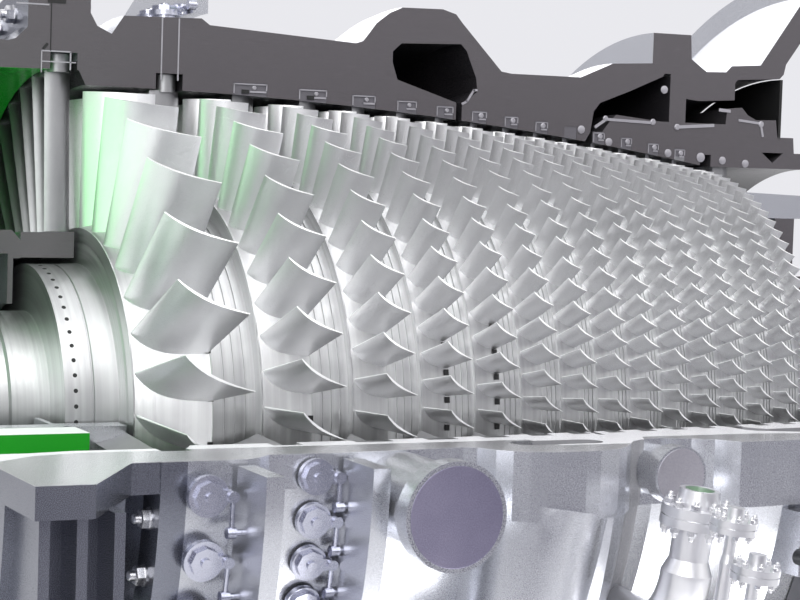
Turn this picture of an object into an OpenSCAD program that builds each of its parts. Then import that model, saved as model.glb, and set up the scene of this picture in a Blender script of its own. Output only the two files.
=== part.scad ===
/* [Rotor] */
// Tip radius of the first blade row
tip_r = 350; // [347:1:354]
// Height of the first blade row
first_height = 153; // [148:1:156]
// Height that the last blade rows tend to
last_height = 18; // [17:0.5:19]
// Distance from the first blade row to the second
first_pitch = 125; // [123:1:127]
// Distance between the last blade rows
last_pitch = 39; // [38.8:0.1:39.2]
// Thickness of the first blades
blade_t = 5; // [4:0.5:7]
// Radius of the front shaft
shaft_r = 105; // [100:1:107]

/* [Casing] */
// Running gap over blade tips and under vane tips
run_gap = 6; // [5.5:0.5:7]
// Thickness of the horizontal joint flanges
joint_t = 34; // [28:1:40]
// Depth of the joint flanges beside the ports
deep_joint_t = 70; // [60:1:78]
// Depth of the grooves that hold the vane feet
foot_groove = 14; // [12:1:15]
// Diameter of the vane spindles
spindle_d = 14; // [12:1:16]

/* [Ports] */
// Diameter of the large blanked port
blank_d = 106; // [100:1:110]
// Diameter of the small blanked port
small_blank_d = 62; // [56:1:66]
// Flange diameter of the largest instrument pipe
pipe_flange_d = 72; // [68:1:75]

/* [Stand] */
// Height of the rotor axis above the floor
axis_h = 640; // [620:1:660]
// Thickness of the support plates
cradle_t = 30; // [24:1:32]
// Thickness of the base plates
foot_t = 22; // [18:1:26]
// Length of the base plates along the rotor axis
foot_len = 180; // [170:1:190]
// Diameter of the floor bolt holes
bolt_d = 22; // [18:1:24]

/* [Hidden] */

// Radii of the castings follow the first tip radius.
dr = tip_r - 350;
// The frame's origin is under the middle of the length.
x_shift = -366;
rows = 15;

// Axial places of the unison rings, and the gap from the ring to the port beside it.
ring_1_x = 6;
ring_2_x = 126;
ring_t = 18;
ring_gap = 3;

silver = [0.72, 0.73, 0.75];
grey = [0.33, 0.32, 0.33];
green = [0.05, 0.55, 0.15];
bright = [0.82, 0.83, 0.84];
dark = [0.3, 0.29, 0.31];

// Axial start, axial length, tip radius and hub radius of the blade rows.
function row_x(i) = last_pitch * i + (first_pitch - last_pitch) * (1 - pow(0.65, i)) / 0.35;
function row_len(i) = 18 + 54 * pow(0.55, i);
function tip(x) = tip_r - 0.0001 * x * x;
function hub(x) = tip(x) - last_height - (first_height - last_height) * exp(-x / 290);
function blades(i) = round(100 - 72 * pow(0.83, i));
function stagger(i) = 40 - 13 * pow(0.7, i);
function wall(x) = tip(x) + run_gap;

// Angle of the first blade of each row above the near joint plane.
phases = [-1.5, 2.3, 2, 2.9, 2.5, 0.2, 0, 0, 0.2, 2.1, 1, 0.4, 2.6, 1.4, 0.8];

// The vane rows lie between the blade rows.
function vane_x(i) = row_x(i) + row_len(i) + 5.5;
function vane_len(i) = (i < rows - 1 ? row_x(i + 1) : row_x(i) + last_pitch) - 5.5 - vane_x(i);
function vanes_per_segment(i) = i == 1 ? 2 : 3;

// Revolves a [radius, x] outline about the rotor axis, from a0 to a1.
// 0 is the bottom, 90 the far side, 180 the top and -90 the near side.
module turn(a0, a1) {
    rotate([0, 90, 0])
        rotate([0, 0, a0])
            rotate_extrude(angle = a1 - a0, $fn = 180)
                children();
}

module full_turn() {
    rotate([0, 90, 0])
        rotate_extrude($fn = 180)
            children();
}

// Stands its children on the radius r at the axial place x and the angle a.
module at(x, a, r) {
    rotate([a, 0, 0])
        translate([x, 0, -r])
            rotate([180, 0, 0])
                children();
}

// Section of a blade, the space between two arcs.
module blade_section(chord, sag, t) {
    sa = sag + t / 2;
    sb = sag - t / 2;
    ra = (chord * chord / 4 + sa * sa) / (2 * sa);
    rb = (chord * chord / 4 + sb * sb) / (2 * sb);
    difference() {
        translate([0, sa - ra])
            circle(r = ra, $fn = 96);
        translate([0, sb - rb])
            circle(r = rb, $fn = 96);
    }
}

module place() {
    translate([x_shift, 0, axis_h])
        children();
}

// One rotor row: a platform ring and its blades, as one piece.
module rotor_row(i) {
    x0 = row_x(i);
    len = row_len(i);
    xm = x0 + len / 2;
    chord = len / cos(stagger(i));
    n = blades(i);
    color(bright)
    place() {
        for (k = [0 : n - 1])
            rotate([90 + phases[i] + k * 360 / n, 0, 0])
                translate([xm, 0, hub(x0) - 4])
                    linear_extrude(height = tip(x0 + len) - hub(x0) + 4)
                        rotate([0, 0, 180 - stagger(i)])
                            blade_section(chord, chord * 0.1, max(2, blade_t * pow(0.8, i)));
        full_turn()
            polygon([[hub(x0) - 16, x0 - 3], [hub(x0), x0 - 3],
                [hub(x0 + len), x0 + len + 3], [hub(x0) - 16, x0 + len + 3]]);
    }
}

// One vane row: eighteen segments of an outer band with vanes that hang from it.
module vane_row(i, x0, len, per) {
    xm = x0 + len / 2;
    chord = len / cos(35);
    r_in = hub(xm) + run_gap;
    color(silver)
    place()
    for (s = [0 : 17]) {
        for (k = [0 : per - 1])
            rotate([-90 + s * 15 + (k + 0.5) * 15 / per, 0, 0])
                translate([xm, 0, -wall(x0) - 3])
                    linear_extrude(height = wall(x0) + 3 - r_in)
                        rotate([0, 0, -35])
                            blade_section(chord, chord * 0.1, max(1.8, chord * 0.06));
        turn(-90 + s * 15 + 0.1, -90 + s * 15 + 14.9)
            polygon([[wall(x0 - 3), x0 - 3], [wall(x0 + len + 3), x0 + len + 3],
                [wall(x0) + foot_groove, x0 + len + 3], [wall(x0) + foot_groove, x0 - 3]]);
    }
}

// Groove in a casing outline for the feet of a vane row.
module foot_slot(x0, len) {
    translate([wall(x0) - 12, x0 - 3])
        square([foot_groove + 12, len + 6]);
}

// Variable vanes: a leaf and a trunnion button, each vane a piece of its own.
module variable_vane(x, len, r_in, r_out, button_d) {
    translate([x, 0, -r_out])
        linear_extrude(height = r_out - r_in)
            rotate([0, 0, -18])
                blade_section(len, len * 0.12, 6);
    translate([x, 0, -r_out - 18])
        cylinder(d = button_d, h = 20, $fn = 48);
}

// Intake casing with its end flange and the half joint.
module intake_outline() {
    polygon([[372 + dr, -41], [371 + dr, -120], [380 + dr, -170], [404 + dr, -205],
        [440 + dr, -222], [490 + dr, -222], [490 + dr, -200], [428 + dr, -196],
        [406 + dr, -160], [401 + dr, -89], [404 + dr, -80], [417 + dr, -67],
        [462 + dr, -67], [462 + dr, -41]]);
}

module intake_casing() {
    color(silver)
    place() {
        difference() {
            union() {
                turn(-90, 180)
                    intake_outline();
                for (side = [-1, 1])
                    translate([0, 0, -30])
                        linear_extrude(height = 30)
                            scale([1, side])
                                polygon([[-222, 380 + dr], [-222, 580 + dr], [-168, 580 + dr],
                                    [-96, 462 + dr], [-60, 460 + dr], [-41, 460 + dr],
                                    [-41, 380 + dr]]);
                for (side = [-1, 1])
                    for (k = [0 : 2])
                        translate([-212 + k * 34, side > 0 ? 385 + dr : -560 - dr, -170])
                            cube([10, 175, 141]);
                for (side = [-1, 1])
                    translate([-212, side > 0 ? 505 + dr : -515 - dr, -170])
                        cube([78, 10, 141]);
            }
            translate([-223, -372 - dr, -200])
                cube([183, 2 * 372 + 2 * dr, 200.5]);
        }
    }
}

module intake_hub() {
    wall_t = 26;
    color(green)
    place()
    turn(-90, 180)
        polygon([[shaft_r + 0.1, -210], [shaft_r + 0.1, -150], [shaft_r + 22, -150],
            [shaft_r + 22, -172], [194 + dr - wall_t, -172], [194 + dr - wall_t, -84],
            [shaft_r + 8, -84], [shaft_r + 8, -78], [163 + dr, -78], [163 + dr, -70],
            [183 + dr, -70], [194 + dr, -80], [194 + dr, -170], [180 + dr, -210],
            [150 + dr, -232], [138 + dr, -214], [150 + dr, -188], [shaft_r + 22, -188],
            [shaft_r + 22, -210]]);
}

module intake_struts() {
    color(green)
    place()
    difference() {
        union() {
            for (a = [-45, 0, 45, 90, 135, 180 - 4.3])
                at(0, a, 170 + dr)
                    translate([-190, -14, 0])
                        cube([96, 28, 210]);
            translate([-190, -243 - dr, -45])
                cube([125, 73, 45]);
        }
        full_turn()
            polygon([[0, -240], [150 + dr, -232], [180 + dr, -210], [194.3 + dr, -170],
                [194.3 + dr, -60], [0, -60]]);
        full_turn()
            polygon([[371.7 + dr, -41], [370.7 + dr, -120], [379.7 + dr, -170],
                [403.7 + dr, -205], [460 + dr, -205], [460 + dr, -41]]);
    }
}

module inlet_vane_ring() {
    color(silver)
    place()
    turn(-90, 180)
        polygon([[164 + dr, -70], [192 + dr, -70], [193 + dr, 0 - 9], [184 + dr, -9],
            [170 + dr, -9], [164 + dr, -9]]);
}

module inlet_guide_vanes() {
    color(silver)
    place()
    for (k = [0 : 35])
        rotate([-90 + 3.75 + k * 7.5, 0, 0])
            variable_vane(-25.5, 34, 193 + dr, 371.5 + dr, 30);
}

// Outer contour of the compressor casing, with the bleed chamber hump.
outer_points = [[462, -41], [462, 4], [436, 4], [422, 12], [414, 29], [423, 35], [435, 43],
    [437, 135], [430, 145], [419, 328], [422, 337], [432, 345], [444, 354], [457, 371],
    [464, 387], [465, 440], [460, 458], [450, 467], [395, 522], [393, 536], [393, 633],
    [412, 678], [415, 736], [453, 736], [453, 763]];
outer_contour = [for (p = outer_points) [p[0] + dr, p[1]]];
// The lower half is waisted behind the bleed port.
lower_points = [[462, -41], [462, 4], [436, 4], [422, 12], [414, 29], [423, 35], [435, 43],
    [437, 135], [430, 145], [419, 328], [422, 337], [432, 345], [444, 354], [457, 371],
    [463, 387], [463, 424], [452, 440], [430, 458], [412, 472], [399, 490], [393, 514],
    [393, 633], [412, 678], [415, 736], [453, 736], [453, 763]];
lower_contour = [for (p = lower_points) [p[0] + dr, p[1]]];

// The filled space that pieces on the casing's side are cut back from.
module casing_body() {
    turn(-90, 90)
        polygon(concat([[0, -41]], lower_contour, [[0, 763]]));
    turn(90, 180)
        polygon(concat([[0, -41]], outer_contour, [[0, 763]]));
    joint_strip(-joint_t, joint_t, [-1, 1]);
    joint_wall([-1, 1]);
}

module bore_outline(contour) {
    difference() {
        polygon(concat([[372 + dr, -41]], contour,
            [[403 + dr, 763], [403 + dr, 754], [399 + dr, 751],
                [379 + dr, 704], [363 + dr, 662], [352 + dr, 653], [326 + dr, 649],
                [wall(642), 642]],
            [for (x = [600 : -50 : 0]) [wall(x), x]],
            [[372 + dr, -8]]));
        translate([320 + dr, 462])
            square([40, 8]);
        translate([360 + dr, -42])
            square([31, 32]);
        translate([wall(98) - 12, 82])
            square([30, 32]);
        for (i = [1 : 9])
            foot_slot(vane_x(i), vane_len(i));
    }
}

// Bleed chamber of the upper half, a ring channel under the hump.
module bleed_chamber() {
    polygon([[399 + dr, 376], [412 + dr, 376], [422 + dr, 387], [425 + dr, 466],
        [417 + dr, 474], [385 + dr, 488], [369 + dr, 490], [355 + dr, 470],
        [355 + dr, 462], [379 + dr, 383]]);
}

// Plan of the half joint flange of the compressor casing, [x, distance from axis].
module joint_plan() {
    polygon([[-41, 396 + dr], [-41, 460 + dr], [20, 460 + dr], [36, 450 + dr], [52, 434.5 + dr],
        [145, 434.5 + dr], [200, 430 + dr], [266, 424 + dr], [279, 429 + dr], [290, 449 + dr],
        [302, 463 + dr], [318, 471 + dr], [336, 476 + dr], [356, 478 + dr], [378, 478 + dr],
        [396, 475 + dr], [423, 466 + dr], [439, 454 + dr], [456, 433 + dr], [470, 415 + dr],
        [486, 403 + dr], [515, 398 + dr], [547, 408 + dr], [568, 421 + dr], [586, 444 + dr],
        [610, 445 + dr], [661, 440 + dr], [736, 440 + dr], [763, 453 + dr], [763, 403 + dr],
        [754, 403 + dr], [704, 379 + dr], [600, 379 + dr], [500, 385 + dr], [476, 385 + dr],
        [400, 385 + dr], [360, 410 + dr]]);
}

// Bleed slot in the near half joint, rounded at its ends.
module bleed_slot(depth) {
    translate([0, 0, -depth])
        linear_extrude(height = depth + 1)
            for (side = [-1, 1])
                scale([1, side]) {
                    for (x = [347, 420])
                        translate([x, 406 + dr])
                            circle(d = 33, $fn = 48);
                    translate([347, 389.5 + dr])
                        square([73, 33]);
                }
}

// The flange on the sides given: z0 is its lower face, h its height.
module joint_strip(z0, h, sides) {
    for (side = sides)
        translate([0, 0, z0])
            linear_extrude(height = h)
                scale([1, side])
                    joint_plan();
}

// The deep stretch of the flange behind the vane levers.
module joint_wall(sides) {
    for (side = sides)
        translate([0, 0, -deep_joint_t])
            linear_extrude(height = deep_joint_t)
                scale([1, side])
                    intersection() {
                        joint_plan();
                        translate([196, 0])
                            square([545, 600]);
                    }
}

module front_casing_lower() {
    color(silver)
    place()
    difference() {
        union() {
            turn(-90, 90)
                bore_outline(lower_contour);
            joint_strip(-joint_t, joint_t, [-1, 1]);
            joint_wall([-1, 1]);
        }
        bleed_slot(16);
    }
}

module front_casing_upper() {
    color(grey)
    place() {
        turn(90, 180)
            difference() {
                bore_outline(outer_contour);
                bleed_chamber();
            }
        joint_strip(0, joint_t, [1]);
    }
}

module rear_outline() {
    polygon([[343 + dr, 763], [453 + dr, 763], [453 + dr, 791], [423 + dr, 793],
        [408 + dr, 816], [409 + dr, 846], [417 + dr, 854], [420 + dr, 898], [510 + dr, 963],
        [540 + dr, 963], [540 + dr, 985], [488 + dr, 985], [423 + dr, 937], [410 + dr, 934],
        [404 + dr, 928], [400 + dr, 864], [396 + dr, 860], [374 + dr, 860], [371 + dr, 806],
        [373 + dr, 787], [343 + dr, 787]]);
}

module rear_casing_lower() {
    color(silver)
    place() {
        turn(-90, 90)
            rear_outline();
        for (side = [-1, 1])
            translate([763, side > 0 ? 410 + dr : -470 - dr, -joint_t])
                cube([120, 60, joint_t]);
    }
}

module rear_casing_upper() {
    color(grey)
    place() {
        turn(90, 180)
            rear_outline();
        translate([763, 410 + dr, 0])
            cube([120, 60, joint_t]);
    }
}

module carrier_outline() {
    difference() {
        polygon([[wall(655), 655], [342 + dr, 678], [349 + dr, 686], [343 + dr, 751],
            [343 + dr, 848], [363 + dr, 850], [365 + dr, 872], [356 + dr, 881],
            [350 + dr, 894], [351 + dr, 925], [329 + dr, 928], [329 + dr, 953],
            [309 + dr, 955], [309 + dr, 975], [wall(820), 975], [wall(820), 820],
            [wall(763), 763], [wall(700), 700]]);
        polygon([[309 + dr, 905], [309 + dr, 938], [296 + dr, 922]]);
        for (i = [10 : 14])
            foot_slot(vane_x(i), vane_len(i));
    }
}

module carrier_lower() {
    color(silver)
    place()
    turn(-90, 90)
        carrier_outline();
}

module carrier_upper() {
    color(grey)
    place()
    turn(90, 180)
        carrier_outline();
}

// The first stator is variable: 48 vanes on three quarters of the circle.
module stator_row_01() {
    color(silver)
    place()
    for (k = [0 : 47])
        rotate([-90 + 2.8125 + k * 5.625, 0, 0])
            variable_vane(98, vane_len(0), hub(98) + run_gap, wall(98) - 1, 26);
}

module exit_hub() {
    color(silver)
    place()
    turn(-90, 180)
        polygon([[225 + dr, row_x(14) + row_len(14) + 9], [hub(791), row_x(14) + row_len(14) + 9],
            [hub(791) - 3, 880], [hub(791) - 6, 975], [225 + dr, 975]]);
}

module exit_vanes() {
    x0 = 850;
    color(silver)
    place()
    for (k = [0 : 53])
        rotate([-90 + 2.5 + k * 5, 0, 0])
            translate([x0, 0, -wall(820) + 0.6])
                linear_extrude(height = wall(820) - hub(791) + 0.6)
                    rotate([0, 0, -12])
                        blade_section(26, 2.6, 3.2);
}

module rear_bearing_plate() {
    color(grey)
    place()
    turn(-90, 180)
        polygon([[97.1, 930], [225 + dr, 930], [225 + dr, 960], [150, 960], [150, 985],
            [97.1, 985]]);
}

// Lever of a variable vane in one piece: boss, disc, nut, arm, rod end and the link that
// hangs from it to a pin on the unison ring.
module lever(boss_d, lift, reach, link, side_step) {
    translate([0, 0, 0.2])
        cylinder(d = boss_d, h = lift, $fn = 36);
    translate([0, 0, lift - 1])
        cylinder(d = boss_d * 1.5, h = 6, $fn = 48);
    translate([0, 0, lift + 4])
        cylinder(d = spindle_d * 2.1, h = 6, $fn = 8);
    translate([0, 0, lift + 9])
        cylinder(d = spindle_d * 0.7, h = 4, $fn = 24);
    translate([0, 0, lift + 4])
        linear_extrude(height = 6)
            polygon([[0, -9], [reach, -5], [reach, 5], [0, 9]]);
    translate([reach, 0, lift + 2])
        cylinder(d = 11.2, h = 11, $fn = 36);
    translate([reach, 0, lift + 10])
        rotate([0, 0, -90])
            rotate([0, 90, 0])
                cylinder(d = 5, h = link, $fn = 24);
    translate([reach - 5, -link, lift + 10])
        rotate([0, 90, 0])
            cylinder(d = 11, h = 9, $fn = 36);
    translate([reach, -link, lift + 10])
        rotate([0, 90, 0])
            cylinder(d = 6, h = side_step, $fn = 24);
}

module inlet_levers() {
    color(silver)
    place()
    for (k = [0 : 35])
        at(-25.5, -90 + 3.75 + k * 7.5, 462 + dr)
            lever(spindle_d * 1.9, 12, 22, 34, ring_1_x + 25.5 - 22 - 0.2);
}

module stator_levers() {
    color(silver)
    place()
    for (k = [0 : 47])
        at(98, -90 + 2.8125 + k * 5.625, 436.2 + dr)
            lever(spindle_d * 1.7, 4, 22, 29, ring_2_x - 98 - 22 - 0.2);
}

// Unison ring: a deep plate ring on pads that stand on the casing.
module unison_ring(x0, thick, r0, r1, pad_x, pad_w) {
    turn(-89.4, 179.4)
        translate([r0, x0])
            square([r1 - r0, thick]);
    difference() {
        for (k = [0 : 8])
            at(0, -90 + 15 + k * 30, 400 + dr)
                translate([pad_x, -8, 0])
                    cube([pad_w, 16, r0 - 400 - dr + 1]);
        casing_body();
    }
}

module inlet_unison_ring() {
    color(silver)
    place()
    unison_ring(ring_1_x, ring_t, 468 + dr, 540 + dr, ring_1_x + 2, 14);
}

module stator_unison_ring() {
    color(silver)
    place()
    unison_ring(ring_2_x, ring_t, 443 + dr, 512 + dr, ring_2_x + 2, 14);
}

// Blanked port: neck, flange and blank disc, standing out along the side.
module blank_port(x, z, d, y0, y1) {
    for (side = [-1, 1])
        scale([1, side, 1])
            translate([x, y0, z])
                rotate([-90, 0, 0]) {
                    cylinder(d = d * 0.86, h = y1 - y0 - 10, $fn = 72);
                    translate([0, 0, y1 - y0 - 22])
                        cylinder(d = d, h = 22, $fn = 72);
                }
}

module blank_port_large() {
    color(silver)
    place()
    difference() {
        blank_port(ring_2_x + ring_t + ring_gap + blank_d * 0.43, -47, blank_d, 380 + dr, 556 + dr);
        casing_body();
    }
}

module blank_port_small() {
    color(silver)
    place()
    difference() {
        blank_port(508, -33, small_blank_d, 370 + dr, 450 + dr);
        casing_body();
    }
}

// Bleed duct below the deep flange: it leans forward, narrows and ends in a blank flange.
module bleed_port() {
    color(silver)
    place()
    difference() {
        for (side = [-1, 1])
            scale([1, side, 1])
                translate([362, 405 + dr, -deep_joint_t + 10])
                    rotate([0, 8.5, 0]) {
                        translate([0, 0, -190])
                            cylinder(d1 = 120, d2 = 154, h = 190, $fn = 90);
                        translate([0, 0, -202])
                            cylinder(d = 156, h = 18, $fn = 90);
                        translate([0, 0, -206])
                            cylinder(d = 148, h = 6, $fn = 90);
                        translate([0, 0, -222])
                            cylinder(d = 156, h = 18, $fn = 90);
                    }
        casing_body();
    }
}

module side_blocks() {
    color(silver)
    place()
    difference() {
        for (side = [-1, 1])
            scale([1, side, 1])
                translate([672, 370 + dr, -150])
                    cube([44, 66, 70]);
        casing_body();
    }
}

// Instrument pipe: end piece, double flange, neck and shoulder over an elbow that ends on the
// casing wall. It leans 5 degrees outwards and to the rear. z_run is the height of the run.
module flanged_pipe(x, y, z_top, d, end_d, neck_d, body_d, z_run) {
    bend = body_d * 1.1 + 14;
    z_low = z_run + bend;
    y_in = 270;
    z_neck = z_top - d * 0.75;
    translate([x, y, z_top])
        rotate([-5, 5, 0])
            translate([-x, -y, -z_top]) {
                translate([x, y, z_top - 1])
                    cylinder(d1 = end_d * 1.12, d2 = end_d, h = d * 0.25 + 1, $fn = 60);
                translate([x, y, z_top - d * 0.13])
                    cylinder(d = d, h = d * 0.13, $fn = 72);
                translate([x, y, z_top - d * 0.16])
                    cylinder(d = d * 0.93, h = d * 0.1, $fn = 72);
                translate([x, y, z_top - d * 0.28])
                    cylinder(d = d, h = d * 0.13, $fn = 72);
                translate([x, y, z_neck - 1])
                    cylinder(d = neck_d, h = d * 0.5, $fn = 60);
                translate([x, y, z_neck - d * 0.2])
                    cylinder(d1 = body_d, d2 = neck_d, h = d * 0.2, $fn = 60);
                translate([x, y, z_low])
                    cylinder(d = body_d, h = z_neck - d * 0.2 - z_low + 0.5, $fn = 60);
                translate([x, y - bend, z_low])
                    rotate([0, 90, 0])
                        rotate_extrude(angle = 90, $fn = 72)
                            translate([bend, 0])
                                circle(d = body_d, $fn = 60);
                translate([x, y_in, z_run])
                    rotate([-90, 0, 0])
                        cylinder(d = body_d, h = y - bend - y_in, $fn = 60);
            }
}

// The same pipe on both sides, cut back to the casing.
module pipe_pair(y, z_top, d, end_d, neck_d, body_d, z_run) {
    difference() {
        for (side = [-1, 1])
            scale([1, side, 1])
                flanged_pipe(493, y + dr, z_top, d, end_d, neck_d, body_d, z_run);
        casing_body();
    }
}

module pipe_large() {
    d = pipe_flange_d;
    color(silver)
    place()
    difference() {
        pipe_pair(505, -56, d, d * 0.57, d * 0.57, d * 0.74, -200);
        for (side = [-1, 1])
            scale([1, side, 1])
                translate([493, 505 + dr, -56])
                    rotate([-5, 5, 0])
                        translate([0, 0, d * 0.25 - 12])
                            cylinder(d = d * 0.42, h = 30, $fn = 60);
    }
}

module pipe_medium() {
    d = pipe_flange_d * 0.66;
    color(silver)
    place()
    pipe_pair(572, -58, d, d * 0.36, d * 0.26, d * 0.32, -249);
}

module pipe_small() {
    d = pipe_flange_d * 0.68;
    color(silver)
    place()
    pipe_pair(612, -98, d, d * 0.36, d * 0.26, d * 0.34, -276);
}

// Support plate across the stand, cut round to the casing, with two base plates.
module cradle(x0, r_cut, half_w, top_z) {
    difference() {
        translate([x0, 0, 0])
            rotate([90, 0, 90])
                linear_extrude(height = cradle_t)
                    difference() {
                        polygon([[-half_w, top_z], [-half_w + 10, -axis_h + foot_t / 2],
                            [-half_w + 150, -axis_h + foot_t / 2], [-half_w + 250, -axis_h + 130],
                            [half_w - 250, -axis_h + 130], [half_w - 150, -axis_h + foot_t / 2],
                            [half_w - 10, -axis_h + foot_t / 2], [half_w, top_z]]);
                        circle(r = r_cut, $fn = 180);
                    }
    }
    for (side = [-1, 1])
        difference() {
            translate([x0 + (cradle_t - foot_len) / 2, side * (half_w - 80) - 95, -axis_h])
                cube([foot_len, 190, foot_t]);
            for (bx = [30 - foot_len / 2, foot_len / 2 - 30])
                translate([x0 + cradle_t / 2 + bx, side * (half_w - 80), -axis_h - 1])
                    cylinder(d = bolt_d, h = foot_t + 2, $fn = 48);
        }
}

module front_support() {
    color(dark)
    place()
    cradle(-67 - cradle_t, 418 + dr, 470, -160);
}

module rear_support() {
    color(dark)
    place()
    cradle(736 - cradle_t, 415.3 + dr, 470, -160);
}

// Rotor: shafts, drum and blade rows turn together.
module shaft_front() {
    color(bright)
    place()
    full_turn()
        polygon([[0, -290], [92, -290], [96, -286], [96, -262], [shaft_r - 12, -262],
            [shaft_r - 12, -240], [shaft_r, -236], [shaft_r, -120], [shaft_r - 5, -118],
            [shaft_r - 5, -108], [shaft_r, -106], [shaft_r, -64], [157 + dr, -64],
            [157 + dr, -34], [155.5 + dr, -33], [155.5 + dr, -32], [157 + dr, -31],
            [158 + dr, -5], [0, -5]]);
}

module drum_outline() {
    polygon(concat(
        [[0, -5], [158 + dr, -5], [176 + dr, -4]],
        [for (i = [0 : rows - 1])
            let(x0 = row_x(i), len = row_len(i), h0 = hub(x0), h1 = hub(x0 + len))
            each concat(
                [[h0 - 16, x0 - 3], [h0 - 16, x0 + len + 3]],
                i < rows - 1 ? concat(
                    [[h1 - 1, x0 + len + 3]],
                    [for (k = [1 : 3])
                        let(xg = x0 + len + 3 + k * (row_x(i + 1) - x0 - len - 6) / 4)
                        each [[h1 - 1, xg - 1], [h1 - 3, xg - 1], [h1 - 3, xg + 1],
                            [h1 - 1, xg + 1]]],
                    [[h1 - 1, row_x(i + 1) - 3]]) : [])],
        [[0, row_x(rows - 1) + row_len(rows - 1) + 3]]));
}

module rotor_drum() {
    color(bright)
    place()
    full_turn()
        drum_outline();
}

module shaft_rear() {
    x0 = row_x(rows - 1) + row_len(rows - 1) + 3;
    color(bright)
    place()
    full_turn()
        polygon([[0, x0], [215 + dr, x0], [215 + dr, x0 + 30], [160, x0 + 60], [97, x0 + 80],
            [97, 1000], [120, 1000], [120, 1022], [0, 1022]]);
}

// The fixed vane rows from a to b.
module vane_rows(a, b) {
    for (i = [a - 1 : b - 1])
        vane_row(i, vane_x(i), vane_len(i), vanes_per_segment(i));
}

module stator_rows_02_04() {
    vane_rows(2, 4);
}

module stator_rows_05_07() {
    vane_rows(5, 7);
}

module stator_rows_08_10() {
    vane_rows(8, 10);
}

module stator_rows_11_14() {
    vane_rows(11, 14);
}

// The blade rows from a to b.
module rotor_rows(a, b) {
    for (i = [a - 1 : b - 1])
        rotor_row(i);
}

module rotor_row_01() {
    rotor_rows(1, 1);
}

module rotor_row_02() {
    rotor_rows(2, 2);
}

module rotor_row_03() {
    rotor_rows(3, 3);
}

module rotor_row_04() {
    rotor_rows(4, 4);
}

module rotor_row_05() {
    rotor_rows(5, 5);
}

module rotor_rows_06_07() {
    rotor_rows(6, 7);
}

module rotor_rows_08_09() {
    rotor_rows(8, 9);
}

module rotor_rows_10_11() {
    rotor_rows(10, 11);
}

module rotor_rows_12_13() {
    rotor_rows(12, 13);
}

module rotor_rows_14_15() {
    rotor_rows(14, 15);
}

stator_rows_11_14();
stator_rows_08_10();
stator_rows_05_07();
stator_rows_02_04();
rotor_rows_14_15();
rotor_rows_12_13();
rotor_rows_10_11();
rotor_rows_08_09();
rotor_rows_06_07();
stator_row_01();
inlet_guide_vanes();
stator_levers();
inlet_levers();
rotor_row_05();
rotor_row_04();
rotor_row_03();
rotor_row_02();
rotor_row_01();
intake_casing();
intake_struts();
intake_hub();
inlet_vane_ring();
front_casing_lower();
front_casing_upper();
rear_casing_lower();
rear_casing_upper();
carrier_lower();
carrier_upper();
exit_vanes();
exit_hub();
rear_bearing_plate();
inlet_unison_ring();
stator_unison_ring();
blank_port_large();
bleed_port();
blank_port_small();
side_blocks();
pipe_large();
pipe_medium();
pipe_small();
front_support();
rear_support();
shaft_front();
rotor_drum();
shaft_rear();
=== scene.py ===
"""Looks of the cutaway compressor section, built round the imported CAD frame."""
import math

import bmesh
import bpy
from mathutils import Matrix, Vector


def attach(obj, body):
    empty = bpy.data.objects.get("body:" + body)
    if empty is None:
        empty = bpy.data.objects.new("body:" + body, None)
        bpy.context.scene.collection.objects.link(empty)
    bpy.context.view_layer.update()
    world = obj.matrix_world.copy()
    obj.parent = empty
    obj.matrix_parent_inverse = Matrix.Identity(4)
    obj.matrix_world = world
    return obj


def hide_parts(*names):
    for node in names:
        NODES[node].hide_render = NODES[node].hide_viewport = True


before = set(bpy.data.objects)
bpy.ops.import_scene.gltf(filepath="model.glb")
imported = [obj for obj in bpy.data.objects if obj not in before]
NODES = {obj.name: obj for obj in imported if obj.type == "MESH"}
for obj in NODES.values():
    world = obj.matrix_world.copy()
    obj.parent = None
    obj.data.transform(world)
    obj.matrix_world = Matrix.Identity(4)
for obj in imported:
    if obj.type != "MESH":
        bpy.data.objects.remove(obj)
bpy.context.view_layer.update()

# Sizes in millimetres on the rotor axis, as in the part's source.
AXIS_H = 640.0
X_SHIFT = -366.0
TIP_R = 350.0
ROWS = 15
LAST_PITCH = 39
VANE_GAP = 5.5
RUN_GAP = 6


def row_x(i):
    """Axial place of blade row i's leading edge."""
    return LAST_PITCH * i + 86 * (1 - 0.65 ** i) / 0.35


def row_len(i):
    """Axial length of the blades of row i."""
    return 18 + 54 * 0.55 ** i


def tip(x):
    """Radius of the blade tips at axial place x."""
    return TIP_R - 0.0001 * x * x


def hub(x):
    """Radius of the drum at axial place x."""
    return tip(x) - 18 - 135 * math.exp(-x / 290)


def wall(x):
    """Radius of the casing's bore at axial place x."""
    return tip(x) + RUN_GAP


def vane_x(i):
    """Axial place where the vanes behind blade row i begin."""
    return row_x(i) + row_len(i) + VANE_GAP


def vane_end(i):
    """Axial place where the vanes behind blade row i end."""
    return (row_x(i + 1) if i < ROWS - 1 else row_x(i) + LAST_PITCH) - VANE_GAP


def blades(i):
    """Number of blades in row i."""
    return int(math.floor(100 - 72 * 0.83 ** i + 0.5))


def stagger(i):
    """Angle of the blade section to the rotor axis at the tip of row i."""
    return 40 - 13 * 0.7 ** i


# Angle in degrees at which each row's first blade stands above the near half joint.
PHASES = (-1.5, 2.3, 2.0, 2.9, 2.5, 0.2, 0.0, 0.0, 0.2, 2.1, 1.0, 0.4, 2.6, 1.4, 0.8)


def pt(x, y, z):
    """A point given on the rotor axis in millimetres, in the row frame in metres."""
    return Vector(((x + X_SHIFT) / 1000, y / 1000, (z + AXIS_H) / 1000))


def polar(x, a, r):
    """The point at axial place x, angle a and radius r: 0 bottom, 90 far, -90 near."""
    t = math.radians(a)
    return pt(x, r * math.sin(t), -r * math.cos(t))


# Materials

# How near to a plane, in metres, a face has to be to count as lying in it.
CUT_SKIN = 0.0008
VANE_CUT_SKIN = 0.0015
JOINT_SKIN = 0.0004

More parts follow.
